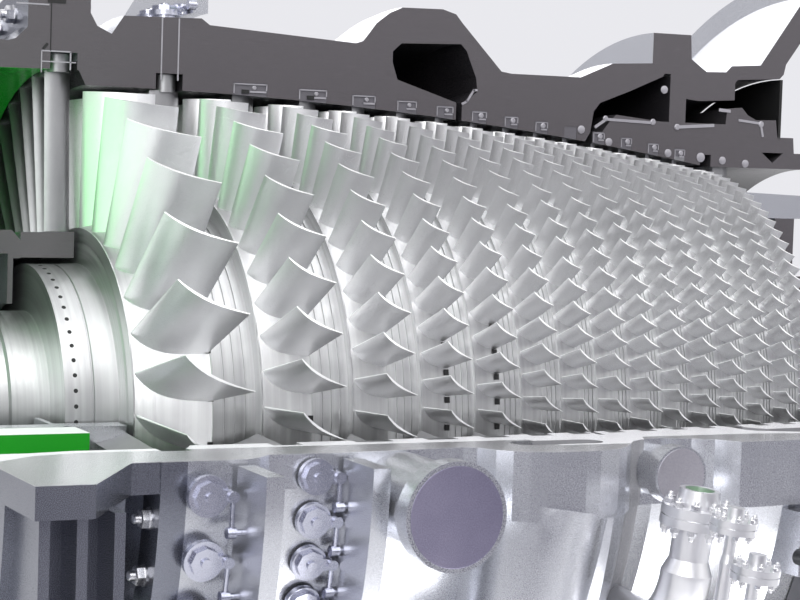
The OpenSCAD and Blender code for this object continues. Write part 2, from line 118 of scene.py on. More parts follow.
# Tones of the cut faces and of the bare joint faces, and how metallic the silver coat is.
CUT_TONE = (0.092, 0.084, 0.092)
VANE_CUT_TONE = (0.12, 0.115, 0.13)
JOINT_TONE = (0.80, 0.80, 0.83)
COAT_METAL = 0.9


class Tree:
    """A material's node tree with short helpers."""

    def __init__(self, name):
        self.mat = bpy.data.materials.new(name)
        self.mat.use_nodes = True
        self.nt = self.mat.node_tree
        self.bsdf = self.nt.nodes["Principled BSDF"]
        self.coord = self.nt.nodes.new("ShaderNodeTexCoord").outputs["Object"]

    def node(self, kind, **values):
        n = self.nt.nodes.new(kind)
        for key, value in values.items():
            setattr(n, key, value)
        return n

    def link(self, a, b):
        self.nt.links.new(a, b)

    def math(self, op, a, b=0.0, clamp=False):
        n = self.node("ShaderNodeMath", operation=op, use_clamp=clamp)
        for socket, value in zip(n.inputs, (a, b)):
            if isinstance(value, (int, float)):
                socket.default_value = value
            else:
                self.link(value, socket)
        return n.outputs[0]

    def noise(self, scale, detail=2.0, rough=0.5, vector=None, distortion=0.0):
        n = self.node("ShaderNodeTexNoise")
        n.inputs["Scale"].default_value = scale
        n.inputs["Detail"].default_value = detail
        n.inputs["Roughness"].default_value = rough
        n.inputs["Distortion"].default_value = distortion
        self.link(self.coord if vector is None else vector, n.inputs["Vector"])
        return n.outputs["Fac"]

    def stretch(self, sx, sy, sz):
        """The object's coordinates, scaled along each axis."""
        n = self.node("ShaderNodeMapping")
        n.inputs["Scale"].default_value = (sx, sy, sz)
        self.link(self.coord, n.inputs["Vector"])
        return n.outputs[0]

    def range(self, fac, a0, a1, b0, b1):
        """Maps fac from a0 to a1 onto b0 to b1, and keeps it between them."""
        n = self.node("ShaderNodeMapRange")
        for socket, value in zip(n.inputs, (None, a0, a1, b0, b1)):
            if value is not None:
                socket.default_value = value
        self.link(fac, n.inputs[0])
        return n.outputs[0]

    def mix(self, fac, a, b):
        """Colour between a and b: fac 0 gives a, and 1 gives b."""
        n = self.node("ShaderNodeMix", data_type="RGBA")
        for socket, value in ((n.inputs[0], fac), (n.inputs[6], a), (n.inputs[7], b)):
            if isinstance(value, tuple):
                socket.default_value = (*value, 1) if len(value) == 3 else value
            elif isinstance(value, (int, float)):
                socket.default_value = value
            else:
                self.link(value, socket)
        return n.outputs[2]

    def color(self, socket):
        self.link(socket, self.bsdf.inputs["Base Color"])

    def rough(self, socket):
        self.link(socket, self.bsdf.inputs["Roughness"])

    def bump(self, height, strength, distance):
        n = self.node("ShaderNodeBump")
        n.inputs["Strength"].default_value = strength
        n.inputs["Distance"].default_value = distance
        self.link(height, n.inputs["Height"])
        self.link(n.outputs[0], self.bsdf.inputs["Normal"])

    def place(self):
        """Sockets of x in metres, y, the height over the rotor axis, and the radius."""
        sep = self.node("ShaderNodeSeparateXYZ")
        self.link(self.coord, sep.inputs[0])
        x, y = sep.outputs[0], sep.outputs[1]
        z = self.math("SUBTRACT", sep.outputs[2], AXIS_H / 1000)
        squares = self.math("ADD", self.math("MULTIPLY", y, y), self.math("MULTIPLY", z, z))
        r = self.math("SQRT", squares)
        return x, y, z, r

    def near(self, value, distance):
        """1 where the value is within the distance of zero, and 0 elsewhere."""
        return self.math("LESS_THAN", self.math("ABSOLUTE", value), distance)

    def turned_height(self, fine, coarse):
        """Fine and coarse lathe marks about the rotor axis: they depend on x and the radius."""
        x, _, _, r = self.place()
        com = self.node("ShaderNodeCombineXYZ")
        self.link(x, com.inputs[0])
        self.link(r, com.inputs[1])
        a = self.noise(fine, 2.0, 0.6, com.outputs[0])
        b = self.noise(coarse, 3.0, 0.6, com.outputs[0])
        return a, b


def metal(name, base, dark, rough, fine=900.0, bump=0.12, turned=False, spread=0.10, cut=False):
    """Bare metal: satin or turned, with soft variation and fine grain.

    With cut, faces in the upper cut plane show the grey coat of the cut."""
    t = Tree(name)
    t.bsdf.inputs["Metallic"].default_value = 1.0
    if turned:
        a, b = t.turned_height(fine, fine * 0.12)
        height = t.math("ADD", a, t.math("MULTIPLY", b, 1.4))
    else:
        a = t.noise(fine, 3.0, 0.65)
        b = t.noise(9.0, 4.0, 0.6)
        height = a
    colour = t.mix(t.range(b, 0.3, 0.7, 0.0, 1.0), dark, base)
    if cut:
        _, y, z, _ = t.place()
        mask = t.math("MULTIPLY", t.near(y, VANE_CUT_SKIN), t.math("GREATER_THAN", z, 0.3))
        colour = t.mix(mask, colour, VANE_CUT_TONE)
        share = t.math("SUBTRACT", 1.0, t.math("MULTIPLY", mask, 0.9))
        t.link(share, t.bsdf.inputs["Metallic"])
    t.color(colour)
    t.rough(t.range(a, 0.3, 0.7, rough - spread, rough + spread))
    t.bump(height, bump, 0.0006)
    return t.mat


def paint(name, base, dark, rough, metallic, flake=1400.0):
    """Sprayed coat with fine flake and faint scratches.

    Returns the tree, with its colour, scratch and lines sockets."""
    t = Tree(name)
    t.bsdf.inputs["Metallic"].default_value = metallic
    flakes = t.noise(flake, 2.0, 0.7)
    cloud = t.noise(5.0, 4.0, 0.55)
    scratch = t.noise(60.0, 5.0, 0.75, t.stretch(1.0, 3.0, 9.0), 0.6)
    lines = t.range(scratch, 0.66, 0.70, 0.0, 1.0)
    tone = t.math("ADD", t.range(cloud, 0.3, 0.7, 0.0, 0.65),
                  t.range(flakes, 0.35, 0.65, -0.1, 0.35), True)
    colour = t.mix(tone, dark, base)
    worn = tuple(min(1.0, c * 1.35 + 0.03) for c in base)
    colour = t.mix(t.math("MULTIPLY", lines, 0.35), colour, worn)
    t.scratch, t.lines = scratch, lines
    t.color(colour)
    t.rough(t.range(flakes, 0.3, 0.7, rough - 0.07, rough + 0.09))
    t.bump(t.math("ADD", t.math("MULTIPLY", flakes, 0.5), t.noise(260.0, 2.0)), 0.10, 0.0005)
    t.colour = colour
    return t


def cast_coat(name, inner=None, inner_tone=(0.03, 0.028, 0.032), cut=True, joint=False,
              coat=0.66):
    """Silver coat outside, the inner tone inside, and grey coat on the cut faces. The near-black
    default inner tone is painted shade for the shade in the casings' bore.

    inner is a list of (x mm, radius mm): inside that line the inner tone shows."""
    t = paint(name, (coat, coat + 0.01, coat + 0.05), (coat - 0.12, coat - 0.11, coat - 0.07),
              0.26, COAT_METAL)
    colour = t.colour
    x, y, z, r = t.place()
    metal_share = COAT_METAL
    if inner:
        ramp = t.node("ShaderNodeFloatCurve")
        curve = ramp.mapping.curves[0]
        lo, hi = -300.0, 1100.0
        points = [(lo, inner[0][1])] + list(inner) + [(hi, inner[-1][1])]
        while len(curve.points) < len(points):
            curve.points.new(0.5, 0.5)
        for point, (px, pr) in zip(curve.points, points):
            point.location = ((px - lo) / (hi - lo), pr / 1000)
            point.handle_type = "VECTOR"
        ramp.mapping.update()
        along = t.range(x, (lo + X_SHIFT) / 1000, (hi + X_SHIFT) / 1000, 0.0, 1.0)
        t.link(along, ramp.inputs["Value"])
        inside = t.math("LESS_THAN", r, ramp.outputs[0])
        tone = t.mix(t.range(t.noise(14.0, 4.0), 0.3, 0.7, 0.0, 1.0),
                     tuple(c * 0.75 for c in inner_tone), inner_tone)
        colour = t.mix(inside, colour, tone)
        metal_share = t.math("MULTIPLY", t.math("SUBTRACT", 1.0, inside), COAT_METAL)
    if cut:
        top = t.math("GREATER_THAN", z, 0.002)
        mask = t.math("MULTIPLY", t.near(y, CUT_SKIN), top)
        shade = t.mix(t.range(t.scratch, 0.3, 0.7, 0.0, 1.0),
                      tuple(c * 0.84 for c in CUT_TONE), CUT_TONE)
        shade = t.mix(t.math("MULTIPLY", t.lines, 0.5), shade, tuple(c * 2.0 for c in CUT_TONE))
        colour = t.mix(mask, colour, shade)
        metal_share = t.math("MULTIPLY", t.math("SUBTRACT", 1.0, mask), metal_share)
    if joint:
        colour = t.mix(t.near(z, JOINT_SKIN), colour, JOINT_TONE)
    t.color(colour)
    if inner or cut:
        t.link(metal_share, t.bsdf.inputs["Metallic"])
    return t.mat


def green_coat():
    """Green coat of the struts, with the bare cut face at the joint."""
    t = paint("green_coat", (0.003, 0.30, 0.004), (0.002, 0.22, 0.006), 0.45, 0.0)
    _, y, z, _ = t.place()
    mask = t.math("MULTIPLY", t.near(z, JOINT_SKIN), t.math("LESS_THAN", y, -0.1))
    t.color(t.mix(mask, t.colour, (0.80, 0.80, 0.82)))
    return t.mat


# The lines between the inner and the outer skin of the castings, as (x, radius).
FRONT_SKIN = [(-41, 382), (362, 382), (376, 429), (478, 431), (500, 384), (640, 384),
              (704, 392), (763, 420)]
REAR_SKIN = [(763, 400), (900, 405), (985, 512)]
INTAKE_SKIN = [(-222, 436), (-205, 424), (-170, 398), (-120, 386), (-41, 386)]

# All materials, by look.
M = {
    "blade": metal("blade_satin", (0.93, 0.93, 0.94), (0.85, 0.85, 0.86), 0.34, 1500.0, 0.10),
    # Edges and tips: a lighter steel, partly their own finish and partly painted highlight for the
    # light they catch.
    "edge": metal("blade_edge_highlight", (0.97, 0.97, 0.97), (0.90, 0.91, 0.91), 0.42, 900.0, 0.05),
    # Vanes and guide vanes: their dark steel tone is painted shade, for the shade that falls on
    # them between the blade rows.
    "vane": metal("vane_satin_painted_shade", (0.36, 0.36, 0.37), (0.27, 0.27, 0.28),
                  0.42, 1500.0, 0.10, cut=True),
    "guide": metal("guide_satin_painted_shade", (0.38, 0.38, 0.39), (0.30, 0.30, 0.31),
                   0.45, 1500.0, 0.10, cut=True),
    "turned": metal("turned_steel", (0.58, 0.59, 0.59), (0.46, 0.46, 0.47),
                    0.38, 1500.0, 0.20, True),
    "bright": metal("bright_steel", (0.82, 0.82, 0.84), (0.70, 0.70, 0.73),
                    0.27, 1500.0, 0.03, spread=0.04),
    "brushed": metal("brushed_steel", (0.86, 0.86, 0.88), (0.74, 0.74, 0.77),
                     0.34, 1500.0, 0.04, spread=0.05),
    "lever": metal("lever_steel", (0.62, 0.63, 0.72), (0.52, 0.53, 0.62),
                   0.26, 1500.0, 0.03, spread=0.04),
    "silver": cast_coat("silver_coat", cut=False),
    "joint": cast_coat("silver_coat_joint", cut=False, joint=True, inner=FRONT_SKIN,
                       inner_tone=(0.30, 0.30, 0.32)),
    "joint_rear": cast_coat("silver_coat_rear", cut=False, joint=True, inner=REAR_SKIN,
                            inner_tone=(0.30, 0.30, 0.32)),
    # Intake casing: green coat inside the skin line; outside it the silver coat is darkened to 0.30
    # as painted shade, for the shade on the intake's faces under the front flange.
    "intake": cast_coat("intake_coat_with_painted_shade", INTAKE_SKIN, (0.01, 0.46, 0.03), joint=True, coat=0.30),
    # Upper halves and carrier: near black inside the skin line, as painted shade in the bore, where
    # the lamps don't reach; the lower halves show 0.30 grey there.
    "cut_front": cast_coat("cut_front_coat", FRONT_SKIN),
    "cut_rear": cast_coat("cut_rear_coat", REAR_SKIN),
    "cut_carrier": cast_coat("cut_carrier_coat", [(600, 500), (1000, 500)],
                             (0.05, 0.047, 0.052)),
    "cut_plain": cast_coat("cut_plain_coat"),
    "green": green_coat(),
    "base": paint("dark_coat", (0.10, 0.10, 0.11), (0.06, 0.06, 0.07), 0.45, 0.1).mat,
    "blank": paint("blank_dark", (0.32, 0.30, 0.40), (0.14, 0.13, 0.20), 0.40, 0.6, 900.0).mat,
    "blank_pale": paint("blank_grey", (0.42, 0.41, 0.45), (0.28, 0.27, 0.31), 0.40, 0.6,
                        900.0).mat,
    # Light grey of the strips and heads on the cut faces: partly painted highlight, for the light
    # caught by chamfers and edges.
    "cut_edge": paint("cut_edge_painted_highlight", (0.42, 0.41, 0.44), (0.32, 0.31, 0.34), 0.35, 0.3).mat,
    # Black of the joint gaps, and painted shade: the bores, slots, bleed slot and far end of the
    # plenum are drawn black for the shade in them.
    "gap_and_shade": paint("gap_black_and_painted_shade", (0.012, 0.012, 0.013), (0.006, 0.006, 0.006), 0.6, 0.0).mat,
    "fitting": paint("fitting_black", (0.03, 0.032, 0.035), (0.015, 0.016, 0.018), 0.30,
                     0.2).mat,
}

# Looks of the CAD nodes that aren't plain silver, rotor blades or vanes.
NODE_LOOK = {
    "front_casing_upper": "cut_front", "rear_casing_upper": "cut_rear",
    "carrier_upper": "cut_carrier", "rear_bearing_plate": "cut_plain",
    "intake_struts": "green", "intake_hub": "cut_plain", "inlet_vane_ring": "cut_plain",
    "front_support": "base", "rear_support": "base",
    "rotor_drum": "turned", "shaft_front": "turned", "shaft_rear": "turned",
    "inlet_guide_vanes": "guide", "exit_vanes": "vane", "inlet_levers": "lever",
    "stator_levers": "lever", "pipe_large": "brushed", "pipe_medium": "brushed",
    "pipe_small": "brushed", "front_casing_lower": "joint", "rear_casing_lower": "joint_rear",
    "carrier_lower": "joint", "intake_casing": "intake",
}


def look_of(node_name):
    """The look of a CAD node."""
    if node_name.startswith("rotor_row"):
        return "blade"
    if node_name.startswith("stator_row"):
        return "vane"
    return NODE_LOOK.get(node_name, "silver")


for node_name, obj in NODES.items():
    obj.data.materials.clear()
    obj.data.materials.append(M[look_of(node_name)])


# Pieces


SHARP_ANGLE = math.radians(32)


def piece(name, bm, mat, body, smooth=True):
    """Makes a named piece of the mesh, riding on a body, with its material slot."""
    mesh = bpy.data.meshes.new(name)
    bm.to_mesh(mesh)
    bm.free()
    obj = bpy.data.objects.new(name, mesh)
    bpy.context.scene.collection.objects.link(obj)
    mesh.materials.append(mat)
    if smooth:
        for p in mesh.polygons:
            p.use_smooth = True
        mesh.set_sharp_from_angle(angle=SHARP_ANGLE)
    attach(obj, body)
    return obj


def blade_outline(length, angle, camber, thick, n):
    """Aerofoil outline in the (x, tangential) plane, closed, leading edge first.

    length is the axial length, angle the stagger, camber the sag as a share of the chord,
    thick the greatest thickness and n the number of steps along the chord."""
    c = length / math.cos(math.radians(angle))
    ca, sa = math.cos(math.radians(angle)), math.sin(math.radians(angle))
    upper, lower = [], []
    for k in range(n + 1):
        s = 0.5 - 0.5 * math.cos(math.pi * k / n)
        u = s * c
        sag = -camber * c * 4 * s * (1 - s) * (1.25 - 0.5 * s)
        half = thick / 2 * (0.42 + 0.58 * math.sin(math.pi * min(1.0, s * 1.15) ** 0.8))
        if k == 0 or k == n:
            half = thick * 0.16
        upper.append((u - c / 2, sag + half))
        lower.append((u - c / 2, sag - half))
    loop = upper + lower[::-1]
    return [(u * ca + v * sa, -u * sa + v * ca) for u, v in loop]


def add_blade(bm, i, angle_deg, spans, n):
    """One twisted blade of row i, standing at the angle above the near side.

    It has spans steps along its height and n along its chord. Faces at the tip and along the
    two edges take the second material, a lighter steel: partly the edges' own finish, partly
    painted highlight for the light that the tips and edges catch."""
    x0, length = row_x(i), row_len(i)
    xm = x0 + length / 2
    r0, r1 = hub(x0) - 3, tip(x0 + length) - 0.2
    t_root = max(2.6, 6.2 * 0.8 ** i)
    t_tip = max(1.7, 2.8 * 0.9 ** i)
    rings = []
    for k in range(spans + 1):
        s = k / spans
        r = r0 + (r1 - r0) * s
        out = blade_outline(length, stagger(i) - 3 * (1 - s), 0.125 - 0.045 * s,
                            t_root + (t_tip - t_root) * s, n)
        ring = []
        for u, v in out:
            a = math.radians(angle_deg) + v / r
            ring.append(bm.verts.new(pt(xm + u, -r * math.cos(a), r * math.sin(a))))
        rings.append(ring)
    m = len(rings[0])
    for a, b in zip(rings, rings[1:]):
        for j in range(m):
            f = bm.faces.new((a[j], a[(j + 1) % m], b[(j + 1) % m], b[j]))
            f.material_index = 1 if j in (m // 2 - 1, m - 1) else 0
    foot, top = rings[0], rings[-1]
    for j in range(m // 2 - 1):
        f = bm.faces.new((top[j], top[j + 1], top[m - 2 - j], top[m - 1 - j]))
        f.material_index = 1
        bm.faces.new((foot[j + 1], foot[j], foot[m - 1 - j], foot[m - 2 - j]))


def blade_steps(i):
    """Steps along the height and the chord of a blade of row i: fewer in the small rows."""
    if i < 2:
        return 10, 12
    return (6, 9) if i < 5 else (3, 6)


def add_turned(bm, outline, steps=180):
    """Revolves a closed outline of (x, radius) once about the rotor axis."""
    rings = []
    for k in range(steps):
        rings.append([bm.verts.new(polar(x, 360.0 * k / steps, r)) for x, r in outline])
    for p, q in zip(rings, rings[1:] + rings[:1]):
        for j in range(len(outline)):
            jj = (j + 1) % len(outline)
            bm.faces.new((p[j], p[jj], q[jj], q[j]))


# The rows that each blade node of the CAD holds, counted from 0. The fine pieces that stand for
# them have three materials: 0 the faces, 1 the edges and tips, a lighter steel that is partly
# painted highlight, 2 the platforms.
ROW_NODES = {}
for node_name in NODES:
    if node_name.startswith("rotor_row"):
        parts = node_name.split("_")[2:]
        ROW_NODES[node_name] = range(int(parts[0]) - 1, int(parts[-1]))

for node_name, indices in sorted(ROW_NODES.items()):
    bm = bmesh.new()
    for i in indices:
        n = blades(i)
        for k in range(n):
            add_blade(bm, i, PHASES[i] + k * 360 / n, *blade_steps(i))
        # Ring of platforms under the blades, with a raised edge in front and behind.
        x0, x1 = row_x(i), row_x(i) + row_len(i)
        h0, h1 = hub(x0), hub(x1)
        before = len(bm.faces)
        add_turned(bm, [(x0 - 3, h0 - 16), (x1 + 3, h0 - 16), (x1 + 3, h1 + 0.6),
                        (x1 + 1.6, h1 + 0.6), (x1 + 1.2, h1), (x0 - 1.2, h0),
                        (x0 - 1.6, h0 + 0.6), (x0 - 3, h0 + 0.6)])
        bm.faces.ensure_lookup_table()
        for f in bm.faces[before:]:
            f.material_index = 2
    bmesh.ops.recalc_face_normals(bm, faces=bm.faces)
    obj = piece(node_name + "_fine", bm, M["blade"], "rotor", True)
    # Second material: the edges and tips, lighter as partly painted highlight.
    obj.data.materials.append(M["edge"])
    obj.data.materials.append(M["turned"])
    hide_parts(node_name)


# Small hardware


def frame_of(axis):
    """The axis as a unit vector, and two unit vectors across it."""
    a = Vector(axis).normalized()
    side = Vector((0, 0, 1)) if abs(a.z) < 0.9 else Vector((1, 0, 0))
    u = a.cross(side).normalized()
    return a, u, a.cross(u)


def add_lathe(bm, base, axis, profile, n=24, phase=0.0, index=0):
    """Revolves (height mm, radius mm) pairs about the axis through base, closed at both ends."""
    a, u, v = frame_of(axis)
    rings = []
    for h, r in profile:
        ring = []
        for k in range(n):
            t = 2 * math.pi * k / n + phase
            out = u * math.cos(t) + v * math.sin(t)
            ring.append(bm.verts.new(base + (a * h + out * r) / 1000))
        rings.append(ring)
    faces = []
    for p, q in zip(rings, rings[1:]):
        for k in range(n):
            faces.append(bm.faces.new((p[k], p[(k + 1) % n], q[(k + 1) % n], q[k])))
    faces.append(bm.faces.new(rings[0][::-1]))
    faces.append(bm.faces.new(rings[-1]))
    for f in faces:
        f.material_index = index


def add_nut(bm, base, axis, width, height, stud=0.0, phase=0.0):
    """Hexagon nut with chamfered corners, and the stud's end over it."""
    r = width / math.sqrt(3)
    add_lathe(bm, base, axis, [(-0.5, r * 1.12), (height * 0.14, r * 1.12)], 20)
    add_lathe(bm, base, axis, [(0.0, r), (height * 0.88, r), (height, r * 0.86)], 6, phase)
    if stud:
        end = [(height - 0.5, width * 0.29), (height + stud * 0.8, width * 0.29),
               (height + stud, width * 0.24)]
        add_lathe(bm, base, axis, end, 14)


# Instrument pipes of one side: place of the flange's top, its width and its number of bolts.
PIPES = ((493, 505, -56, 72, 10), (493, 572, -58, 47.5, 8), (493, 612, -98, 49, 8))
PIPE_LEAN = math.radians(5)


def leaning(x, y, z, side):
    """Frame of an instrument pipe that leans outwards and to the rear.

    Returns a function from (along, out, up) in the pipe's frame to a point, and the pipe's axis."""
    c, s = math.cos(PIPE_LEAN), math.sin(PIPE_LEAN)

    def at_local(p, q, h):
        py, pz = q * c + h * s, -q * s + h * c
        return pt(x + p * c + pz * s, side * (y + py), z - p * s + pz * c)

    origin = at_local(0, 0, 0)
    up_axis = (at_local(0, 0, 1) - origin).normalized()
    return at_local, up_axis


bm = bmesh.new()
for side in (-1, 1):
    for x, y, z, d, count in PIPES:
        at_local, up_axis = leaning(x, y, z, side)
        for k in range(count):
            t = 2 * math.pi * (k + 0.5) / count
            p, q = d * 0.415 * math.cos(t), d * 0.415 * math.sin(t)
            w = d * 0.125
            add_nut(bm, at_local(p, q, 0), up_axis, w, w * 0.7, w * 0.4, t)
            add_nut(bm, at_local(p, q, -d * 0.28), -up_axis, w, w * 0.7, w * 0.5, t)
piece("pipe_flange_nuts", bm, M["bright"], "casing", True)

# Nuts on both flanges of the vertical joint, all round but for the open quarter.
JOINT_NUTS = 35
NUT_STEP = 7.5
NUT_WIDTH = 17
NUT_HEIGHT = 10
bm = bmesh.new()
for k in range(JOINT_NUTS):
    a = -90 + NUT_STEP * (k + 1)
    add_nut(bm, polar(-67, a, 436), (-1, 0, 0), NUT_WIDTH, NUT_HEIGHT, 6, k)
    add_nut(bm, polar(4, a, 449), (1, 0, 0), NUT_WIDTH, NUT_HEIGHT, 8, k)
piece("vertical_joint_nuts", bm, M["bright"], "casing", True)

# Faces of the blanked ports, inside a bright rim: name, coat, place, radius and steps round.
BLANKS = (("blank_face_large", "blank", 192.6, 556, -47, 48.5, 96),
          ("blank_face_small", "blank_pale", 508, 450, -33, 28.5, 72))
for name, look, x, y, z, r, steps in BLANKS:
    bm = bmesh.new()
    for side in (-1, 1):
        add_lathe(bm, pt(x, side * y, z), (0, side, 0), [(-0.5, r), (0.4, r), (0.6, r - 0.3)],
                  steps)
    piece(name, bm, M[look], "casing", True)

# Plug in the large instrument pipe.
bm = bmesh.new()
x, y, z, d, _ = PIPES[0]
for side in (-1, 1):
    at_local, up_axis = leaning(x, y, z, side)
    add_lathe(bm, at_local(0, 0, d * 0.25 - 12), up_axis, [(-0.5, 14.9), (3.0, 14.9), (3.6, 14.2)],
              48)
piece("pipe_plug", bm, M["green"], "casing", True)

# Painted shade in the bleed slot of the joint face: a black plate at its floor, for the shade in
# the slot. The slot has round ends.
SLOT_ENDS = ((420, -90), (347, 90))
SLOT_Y = 406
SLOT_R = 16.2
SLOT_FLOOR = -15.6
bm = bmesh.new()
for side in (-1, 1):
    ring = []
    for cx, a0 in SLOT_ENDS:
        for k in range(13):
            t = math.radians(a0 + 15 * k)
            y = side * (SLOT_Y + SLOT_R * math.sin(t))
            ring.append(bm.verts.new(pt(cx + SLOT_R * math.cos(t), y, SLOT_FLOOR)))
    bm.faces.new(ring)
piece("bleed_slot_painted_shade", bm, M["gap_and_shade"], "casing", False)

# Row of small bores round the front hub, and the locking slots behind the first blades. They are
# black faces on the metal, painted shade for the hollows of the bores and slots.
BORES = 60
BORE_X, BORE_R, BORE_WIDTH = -52, 157.05, 4.8
SLOTTED_ROWS = 5
bm = bmesh.new()
for k in range(BORES):
    a = 360 / BORES * k
    t = math.radians(a)
    add_lathe(bm, polar(BORE_X, a, BORE_R), (0, math.sin(t), -math.cos(t)),
              [(-1.0, BORE_WIDTH / 2), (0.12, BORE_WIDTH / 2)], 14)
for i in range(SLOTTED_ROWS):
    n = blades(i)
    x1 = row_x(i) + row_len(i)
    r = hub(x1)
    w = 4.2 if i < 2 else 3.2
    for k in range(n):
        a = -90 + PHASES[i] + k * 360 / n + 180 / n
        corners = []
        for dx, dy in ((-3.5, -w), (2.6, -w), (2.6, w), (-3.5, w)):
            corners.append(bm.verts.new(polar(x1 + dx, a + math.degrees(dy / r), r + 0.75)))
        bm.faces.new(corners)
piece("rotor_bores", bm, M["gap_and_shade"], "rotor", False)


# Details on the cut faces


# How deep, in mm, the strips and dots on the cut faces stand in the metal.
SUNK = 0.4


def add_line(bm, points, width, y=-0.5):
    """Flat strip along (x, radius) points, standing just proud of the upper cut plane."""
    for (xa, ra), (xb, rb) in zip(points, points[1:]):
        d = Vector((xb - xa, rb - ra))
        if d.length < 0.01:
            continue
        d.normalize()
        n = Vector((-d.y, d.x)) * width / 2
        e = d * width * 0.3
        corners = ((xa - e.x + n.x, ra - e.y + n.y), (xb + e.x + n.x, rb + e.y + n.y),
                   (xb + e.x - n.x, rb + e.y - n.y), (xa - e.x - n.x, ra - e.y - n.y))
        front = [bm.verts.new(pt(x, y, r)) for x, r in corners]
        back = [bm.verts.new(pt(x, SUNK, r)) for x, r in corners]
        bm.faces.new(front)
        bm.faces.new(back[::-1])
        for k in range(4):
            j = (k + 1) % 4
            bm.faces.new((front[j], front[k], back[k], back[j]))


def add_dot(bm, x, r, radius):
    """Round screw head or plug end on the upper cut plane."""
    head = [(0, radius), (1.2, radius), (2.0, radius * 0.7)]
    add_lathe(bm, pt(x, SUNK, r), (0, -1, 0), head, 18)


# Light-grey strips and screw heads on the dark cut face draw the outlines of the features below;
# their light tone is partly painted highlight for the light caught along the edges.
# Feet of the vane rows in their grooves, with their locking screws. They show in these rows.
FOOT_ROWS = [i for i in range(1, ROWS - 1) if i != 9]
bm = bmesh.new()
for i in FOOT_ROWS:
    xa, xb = vane_x(i) - 2, vane_end(i) + 2
    ra = wall(vane_x(i))
    w = 1.3 if i < 4 else 1.1
    mid = (xa + xb) / 2
    add_line(bm, [(xa, ra + 2), (xa, ra + 12.5), (xb, ra + 12.5), (xb, ra + 6)], w, -0.9)
    add_line(bm, [(mid, ra + 4), (xb - 1, ra + 4)], w * 1.6, -0.9)
    add_dot(bm, mid + (xb - xa) * 0.12, ra + 8.5, 2.6 if i < 6 else 3.4)
# Bush of the guide vane, spindle bore of the first vane row, bolt bore and joint line.
add_line(bm, [(-51, 391), (-51, 368)], 1.2)
add_line(bm, [(-51, 391.5), (-18, 391.5), (-18, 372)], 1.5)
add_line(bm, [(-50, 380), (-12, 380)], 1.2)
add_line(bm, [(88, 366), (88, 435)], 1.6)
add_line(bm, [(108, 366), (108, 435)], 1.6)
add_line(bm, [(-80, 442), (-44, 442)], 1.6)
add_line(bm, [(-80, 451), (-30, 451)], 1.6)
piece("cut_face_lines", bm, M["cut_edge"], "casing", False)

# Dark gaps: the vertical joint, its bolt bore, and the grooves of the first fixed vanes. The joint
# line is the joint's own dark gap; on the bolt bore and the grooves the black is painted shade in
# the hollows.
bm = bmesh.new()
add_line(bm, [(-41, 392), (-41, 461)], 1.0, -0.6)
add_line(bm, [(-44, 446.5), (-26, 446.5)], 5.0, -0.55)
add_line(bm, [(-49, 394), (-45, 399)], 3.0, -0.6)
for i in (1, 2):
    xa, ra = vane_x(i), wall(vane_x(i))
    add_line(bm, [(xa + 9, ra + 4), (xa + 15, ra + 4)], 4.5, -1.0)
piece("cut_face_gaps", bm, M["gap_and_shade"], "casing", False)

# Painted highlights: light-grey strips along the chamber and the vane carrier stand for the light
# caught by their chamfers, and the screw heads in the same light grey are partly painted glint.
bm = bmesh.new()
add_line(bm, [(470, 354), (476, 357), (485, 371), (489, 371)], 2.6, -1.0)
add_line(bm, [(656, 333), (671, 343), (739, 341)], 3.4, -1.0)
add_line(bm, [(775, 337), (829, 341)], 4.0, -1.0)
add_line(bm, [(838, 361), (853, 360)], 4.0, -1.0)
add_line(bm, [(868, 349), (901, 346), (905, 330)], 3.0, -1.0)
dots = ((754, 383, 5), (670, 344, 3.5), (739, 342, 4), (775, 337, 4), (902, 345, 4),
        (636, 329, 5), (676, 315, 5), (763, 304, 5), (812, 300, 6), (845, 297, 5), (880, 294, 5))
for x, r, size in dots:
    add_dot(bm, x, r, size)
piece("cut_face_chamfer_highlights", bm, M["cut_edge"], "casing", True)

# Valve fitting beside the rear lug: dark body, steel sleeve and hose nipple.
bm = bmesh.new()
for side in (-1, 1):
    out = (0, side, 0)
    add_lathe(bm, pt(694, side * 436, -88), out, [(0, 17), (22, 17), (26, 13), (38, 13)], 28)
    add_lathe(bm, pt(694, side * 446, -98), (0, 0, -1),
              [(0, 10), (3, 12), (30, 12), (34, 8), (52, 8)], 28)
    add_lathe(bm, pt(672, side * 436, -128), out, [(0, 9), (16, 9), (18, 7)], 24)
    add_lathe(bm, pt(702, side * 452, -90), (0.5, side * 0.85, 0),
              [(0, 9), (16, 9), (16.5, 11), (24, 11), (25, 9)], 28, index=1)
obj = piece("side_fittings", bm, M["fitting"], "casing", True)
obj.data.materials.append(M["bright"])

# Painted shade in the plenum behind the vane carrier: a black ring that stands for the shade at the
# plenum's far end, where the lamps don't reach. It leaves the open quarter out.
SHADE_RING_OUTLINE = ((929, 326), (929, 403), (933, 403), (933, 326))
SHADE_RING_STEP = 3
bm = bmesh.new()
loops = []
for a in range(-90, 181, SHADE_RING_STEP):
    loops.append([bm.verts.new(polar(x, a, r)) for x, r in SHADE_RING_OUTLINE])
for one, two in zip(loops, loops[1:]):
    for k in range(4):
        j = (k + 1) % 4
        bm.faces.new((one[k], one[j], two[j], two[k]))
bm.faces.new(loops[0][::-1])
bm.faces.new(loops[-1])
piece("plenum_painted_shade", bm, M["gap_and_shade"], "casing", True)

# Light and camera


